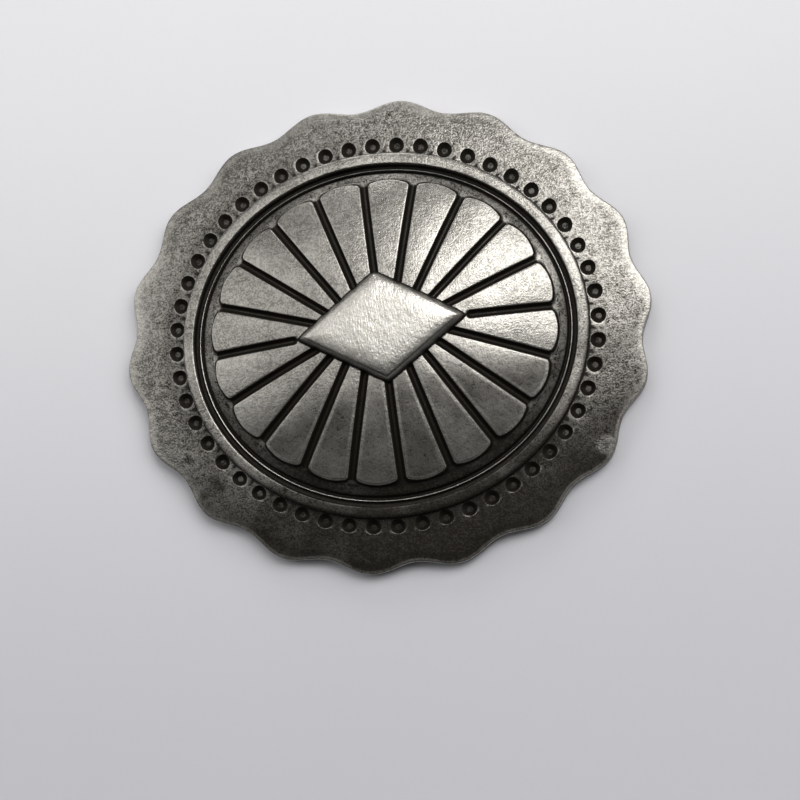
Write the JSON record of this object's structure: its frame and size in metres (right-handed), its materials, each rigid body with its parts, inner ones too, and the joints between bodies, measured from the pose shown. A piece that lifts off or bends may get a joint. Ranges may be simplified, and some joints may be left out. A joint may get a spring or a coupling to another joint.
{
  "type": "oval concho rivet stud",
  "caption": "Oval cast metal stud with a scalloped flange, a ring of punched pits, a raised ring, a fan of petals and a raised rhombus, set on leather with a hidden rivet post.",
  "frame": {"origin": "middle of the plane that the rim rests on", "axes": "+Z out of the face, +X along the oval's long axis"},
  "size_m": [0.038, 0.0336, 0.0048],
  "materials": {
    "antique_silver": "cast zinc alloy with an antique silver plate, worn bright on the high places and black in the recesses",
    "plated_steel": "nickel-plated, satin"
  },
  "bodies": {
    "root": {"concho": "antique_silver", "rivet_post": "plated_steel"}
  },
  "joints": []
}
